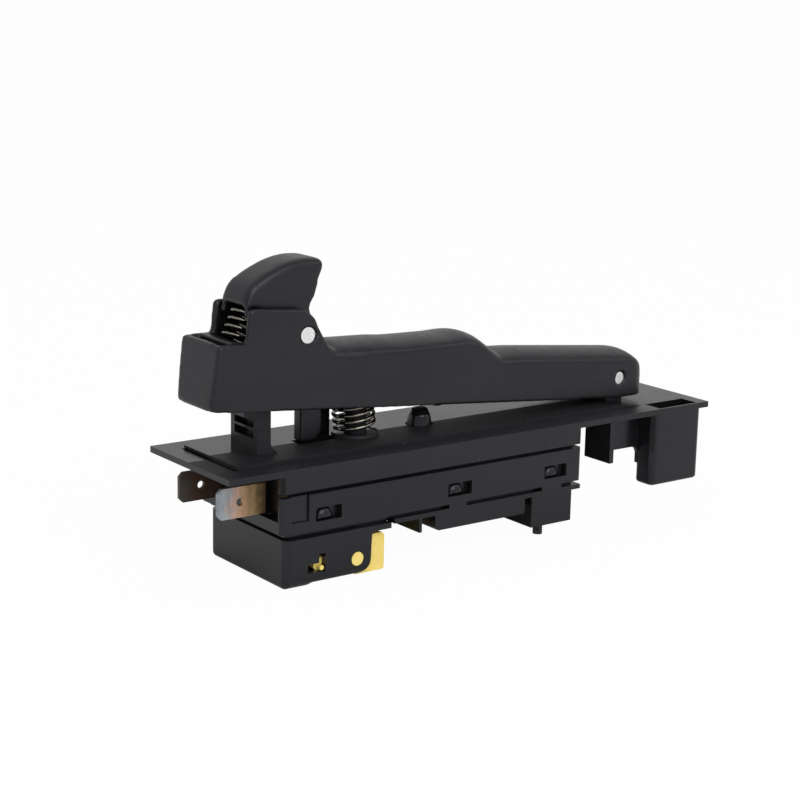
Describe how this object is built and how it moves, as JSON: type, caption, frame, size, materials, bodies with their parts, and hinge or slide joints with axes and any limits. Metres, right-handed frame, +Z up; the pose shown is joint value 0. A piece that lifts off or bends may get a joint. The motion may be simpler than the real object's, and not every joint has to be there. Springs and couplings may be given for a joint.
{
  "type": "trigger switch",
  "caption": "Trigger switch for a power tool handle: long sprung trigger with a lock lever on a flanged housing with blade terminals.",
  "frame": {"origin": "where the housing's terminal-end wall meets the underside of the plate's flange, at mid-width", "axes": "+X along the switch from the terminal end to the trigger's pivot end, +Y across it to the side without the pocket, +Z up through the trigger"},
  "size_m": [0.128, 0.0308, 0.0643],
  "materials": {
    "black_plastic": "satin moulded",
    "yellow_plastic": "satin moulded",
    "pin_steel": "turned ends",
    "spring_steel": "drawn wire",
    "tinned_brass": "tinned, tarnished",
    "contact_brass": "stamped",
    "contact_silver": "pressed"
  },
  "bodies": {
    "base": {"base_front": "black_plastic", "base_rear": "black_plastic", "housing_sleeve": "black_plastic", "bottom_cover": "black_plastic", "lower_cap": "black_plastic", "terminal_front": "tinned_brass", "terminal_rear": "tinned_brass", "output_blade_front": "contact_brass", "output_blade_rear": "contact_brass", "fixed_tip_front_feed": "contact_silver", "fixed_tip_front_load": "contact_silver", "fixed_tip_rear_feed": "contact_silver", "fixed_tip_rear_load": "contact_silver", "return_spring": "spring_steel", "plunger_spring": "spring_steel"},
    "trigger": {"trigger_lever": "black_plastic", "trigger_pin": "pin_steel", "lock_pin": "pin_steel", "lock_spring": "spring_steel"},
    "lock": {"lock_lever": "black_plastic"},
    "plunger": {"plunger": "black_plastic", "contact_bridge_front": "contact_brass", "contact_bridge_rear": "contact_brass", "moving_tip_front_feed": "contact_silver", "moving_tip_front_load": "contact_silver", "moving_tip_rear_feed": "contact_silver", "moving_tip_rear_load": "contact_silver"},
    "release": {"release_lever": "yellow_plastic"}
  },
  "joints": [
    {"name": "trigger_press", "type": "hinge", "parent": "base", "child": "trigger", "pos_m": [0.0968, 0, 0.00718], "axis": [0, -1, 0], "range_deg": [0, 5], "stiffness_Nm_per_rad": 2.4, "springref_deg": -8.59, "deforming": ["return_spring"]},
    {"name": "lock_tilt", "type": "hinge", "parent": "trigger", "child": "lock", "pos_m": [0.0113, 0, 0.02565], "axis": [0, -1, 0], "range_deg": [0, 9], "stiffness_Nm_per_rad": 0.03, "springref_deg": -17.19, "deforming": ["lock_spring"]},
    {"name": "plunger_slide", "type": "slide", "parent": "base", "child": "plunger", "axis": [0, 0, -1], "range_m": [0, 0.0032], "stiffness_N_per_m": 80, "springref_m": -0.004, "deforming": ["plunger_spring"]},
    {"name": "release_tilt", "type": "hinge", "parent": "base", "child": "release", "pos_m": [0.01895, 0, -0.01985], "axis": [0, 1, 0], "range_deg": [0, 12]}
  ],
  "couplings": [
    {"joint": "lock_tilt", "follows": "trigger_press", "ratio": 1.8},
    {"joint": "plunger_slide", "follows": "trigger_press", "m_per_rad": 0.0366}
  ]
}
